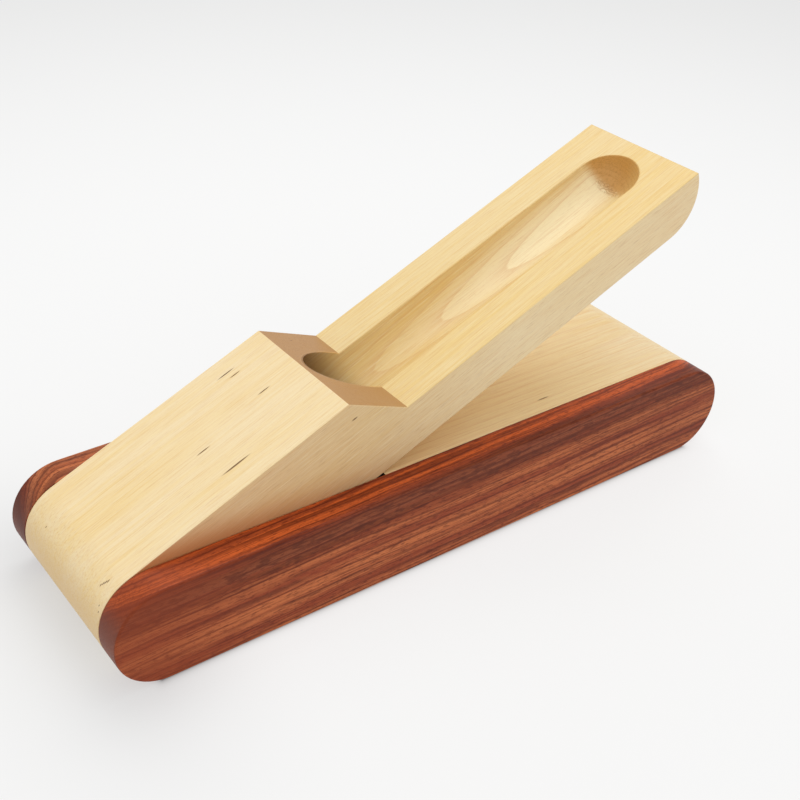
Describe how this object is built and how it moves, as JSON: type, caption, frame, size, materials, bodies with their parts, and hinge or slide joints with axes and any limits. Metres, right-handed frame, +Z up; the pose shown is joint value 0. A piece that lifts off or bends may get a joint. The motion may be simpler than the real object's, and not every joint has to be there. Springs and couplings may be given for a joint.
{
  "type": "fountain pen case",
  "caption": "Two-wood block case for a fountain pen. Its grooved maple tray swings on hidden pins between rosewood rails, from under a glued cover block round to the open, raised pose.",
  "frame": {"origin": "on the surface that the case stands on, under the middle of the block", "axes": "+X along the block towards the raised tray tip, +Y towards the left rail, +Z up"},
  "size_m": [0.1604, 0.0484, 0.0707],
  "materials": {
    "rosewood": "satin lacquered rosewood, dark streaks along the grain",
    "maple": "satin maple, fine straight grain with small brown flecks",
    "pin_steel": "plain ground steel"
  },
  "bodies": {
    "block": {"right_rail": "rosewood", "left_rail": "rosewood", "cover_block": "maple", "pivot_pin_right": "pin_steel", "pivot_pin_left": "pin_steel"},
    "tray": {"swing_tray": "maple"}
  },
  "joints": [
    {"name": "tray_swing", "type": "hinge", "parent": "block", "child": "tray", "pos_m": [-0.0692, 0, 0.011], "axis": [0, -1, 0], "range_deg": [-0.5, 336.4]}
  ]
}
